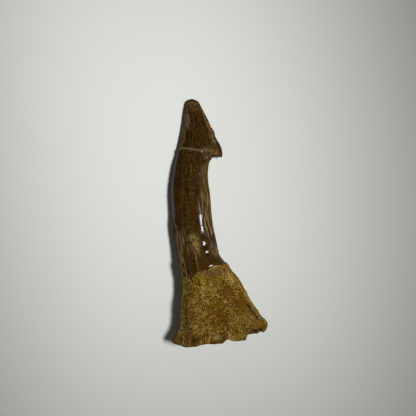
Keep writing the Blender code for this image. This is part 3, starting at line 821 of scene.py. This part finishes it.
def root_colour(n):
    """Ochre root: pale grains, dark pores, and rust, grey, yellow and pale patches. Its colour
    follows the fine relief, as painted shade in pits and in the end's furrow and painted light on
    raised grain; the pale patches by the front edge are painted light too.
    """
    # Colour from the height of the fine relief: painted shade in pits, painted light on raised
    # grain.
    raised = n.ramp(n.mask("fine"), "relief_shade_and_light")
    level = n.weighted(n.noise("root_grains"), raised, GRAINS_IN_ROOT)
    contrast = n.ramp(n.noise("root_patches"), "patch_contrast")
    contrast = n.product(contrast, n.ramp(n.mask("grey"), "grey_contrast"))
    level = n.sum(n.product(n.difference(level, NOISE_MIDDLE), contrast), NOISE_MIDDLE)
    ochre = n.blend(n.ramp(level, "root_ochre"), ROOT_DARK, ROOT_OCHRE)
    for name, cover, stain in ROOT_STAIN_COLOURS:
        ochre = n.blend(n.product(n.mask(name), cover), ochre, stain)
    dulled = n.product(n.sum(n.mask("rust"), n.mask("grey")), STAIN_DULLING)
    # pale patches lift the grains; by the root's front edge this is painted light
    tone = n.product(n.difference(n.mask("pale"), dulled), PALE_LIFT)
    grained = n.blend(n.ramp(n.sum(level, tone), "pale_grains"), ochre, ROOT_PALE)
    grained = n.blend(n.ramp(level, "dark_pores"), grained, ROOT_DARK)
    fibres = n.ramp(n.noise("root_fibres"), "dark_fibres")
    at_rim = n.ramp(n.mask("station"), "fibrous_rim")
    grained = n.blend(n.product(fibres, at_rim), grained, ROOT_DARK)
    return n.blend(n.mask("dark_lines_and_shade"), grained, ROOT_DARK)


def tooth_colour(n, striae):
    """Enamel, dentine and root, with the wear, the glue and the fine lines laid over them. Some
    dark lines are painted shade; one pale line is a painted highlight and one a painted reflection.
    """
    streaks = n.product(n.mask("front_worn"), n.ramp(striae, "worn_streaks"))
    ochre_wear = n.product(n.mask("yellow"), n.ramp(n.noise("ochre_wear"), "ochre_wear"))
    crown = n.blend(n.mask("band"), enamel_colour(n), dentine_colour(n))
    crown = n.blend(streaks, crown, STRIPE_TAN)
    crown = n.blend(ochre_wear, crown, OCHRE_TAN)
    crown = n.blend(n.product(n.mask("crack"), GLUE_COVER), crown, GLUE)
    # pale lines, among them a painted highlight and a painted reflection
    crown = n.blend(n.mask("pale_lines_and_highlights"), crown, STRIPE_TAN)
    # dark lines: painted shade round the chips, along the tip's edge and by the barb, and elsewhere
    # darker pores and grooves
    crown = n.blend(n.mask("dark_lines_and_shade"), crown, ENAMEL_DARK)
    return n.blend(n.mask("root"), crown, root_colour(n))


def tooth_roughness(n, striae):
    """Glossy enamel, and dull wherever it is worn or bare."""
    gloss = n.ramp(n.noise("smudges"), "enamel_roughness")
    spots = n.ramp(n.sum(n.mask("dull_spots"), n.product(striae, SPOT_FEATHER)), "dull_spots")
    bare = [n.mask(name) for name in ("band", "bevel", "front_worn", "barb", "yellow", "tip_wear")]
    dull = n.ramp(n.highest(*bare, spots), "dulling")
    return n.between(n.mask("root"), n.between(dull, gloss, WORN_ROUGHNESS), ROOT_ROUGHNESS)


def tooth_bump(n):
    """The finest grain of the root and striae of the bare dentine, as a normal."""
    bare = n.sum(n.mask("band"), n.mask("front_worn"))
    striae = n.product(bare, n.product(n.noise("bump_striae"), STRIAE_BUMP))
    height = n.sum(n.product(n.mask("root"), n.noise("bump_grain")), striae)
    values = {"Height": height, "Strength": BUMP_STRENGTH, "Distance": BUMP_HEIGHT * MM}
    return n.add("ShaderNodeBump", values).outputs["Normal"]


def tooth_material():
    """Glossy enamel, satin dentine and matt, porous root, told apart by the mesh's masks."""
    material = bpy.data.materials.new("fossil_tooth")
    material.use_nodes = True
    n = NodeBuilder(material)
    striae = n.noise("striae")
    n.feed(n.shader.inputs["Base Color"], tooth_colour(n, striae))
    n.feed(n.shader.inputs["Roughness"], tooth_roughness(n, striae))
    n.feed(n.shader.inputs["Normal"], tooth_bump(n))
    n.shader.inputs["Specular IOR Level"].default_value = TOOTH_SPECULAR
    return material


def floor_material():
    """Plain pale paper."""
    material = bpy.data.materials.new("pale_floor")
    material.use_nodes = True
    shader = material.node_tree.nodes["Principled BSDF"]
    shader.inputs["Base Color"].default_value = FLOOR_COLOUR
    shader.inputs["Roughness"].default_value = FLOOR_ROUGHNESS
    shader.inputs["Specular IOR Level"].default_value = FLOOR_SPECULAR
    return material


def add_floor():
    """A plain floor that reaches past the view from every side."""
    bpy.ops.mesh.primitive_plane_add(size=2 * FLOOR_HALF, location=(0, 0, 0))
    floor = bpy.context.object
    floor.name = "floor"
    floor.data.materials.append(floor_material())


def add_lights():
    """One soft lamp high on the barb's side, whose light falls in a wide oval, and a faint fill."""
    lamp = bpy.data.lights.new("key", "SPOT")
    lamp.energy = SPOT_POWER
    lamp.shadow_soft_size = LIGHT_RADIUS
    beam = POOL_CENTRE - LIGHT_PLACE
    lamp.spot_size = 2 * math.atan(POOL_REACH[1] / beam.length)
    lamp.spot_blend = 1.0
    key = bpy.data.objects.new("key", lamp)
    key.location = LIGHT_PLACE
    key.rotation_mode = "ZYX"
    key.rotation_euler = (
        math.atan2(beam.y, -beam.z), math.asin(-beam.x / beam.length), POOL_TURN,
    )  # fmt: skip
    key.scale = (POOL_REACH[0] / POOL_REACH[1], 1, 1)
    bpy.context.scene.collection.objects.link(key)
    world = bpy.data.worlds.new("studio")
    world.use_nodes = True
    fill = world.node_tree.nodes["Background"]
    fill.inputs["Color"].default_value = (1, 1, 1, 1)
    fill.inputs["Strength"].default_value = AMBIENT
    bpy.context.scene.world = world


def add_camera():
    """Straight down, close above the tooth."""
    lens = bpy.data.cameras.new("camera")
    half_width = IMAGE_PIXELS * PIXEL_SIZE / 2
    lens.angle = 2 * math.atan(half_width / (CAMERA_HEIGHT - SHARP_HEIGHT))
    lens.clip_start = NEAR_CLIP
    camera = bpy.data.objects.new("camera", lens)
    camera.location = (*CAMERA_CENTRE, CAMERA_HEIGHT)
    bpy.context.scene.collection.objects.link(camera)
    bpy.context.scene.camera = camera


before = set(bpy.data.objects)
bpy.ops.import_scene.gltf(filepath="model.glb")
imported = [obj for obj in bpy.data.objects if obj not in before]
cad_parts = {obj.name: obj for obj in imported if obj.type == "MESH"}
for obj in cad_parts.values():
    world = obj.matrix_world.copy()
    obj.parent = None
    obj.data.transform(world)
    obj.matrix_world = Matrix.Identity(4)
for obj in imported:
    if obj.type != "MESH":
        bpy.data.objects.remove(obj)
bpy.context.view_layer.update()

tooth = build_tooth()
tooth.data.materials.append(tooth_material())
bpy.context.scene.collection.objects.link(tooth)
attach(tooth, "root")
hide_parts(NODE)

add_floor()
add_lights()
add_camera()
bpy.context.scene.view_settings.view_transform = "Standard"
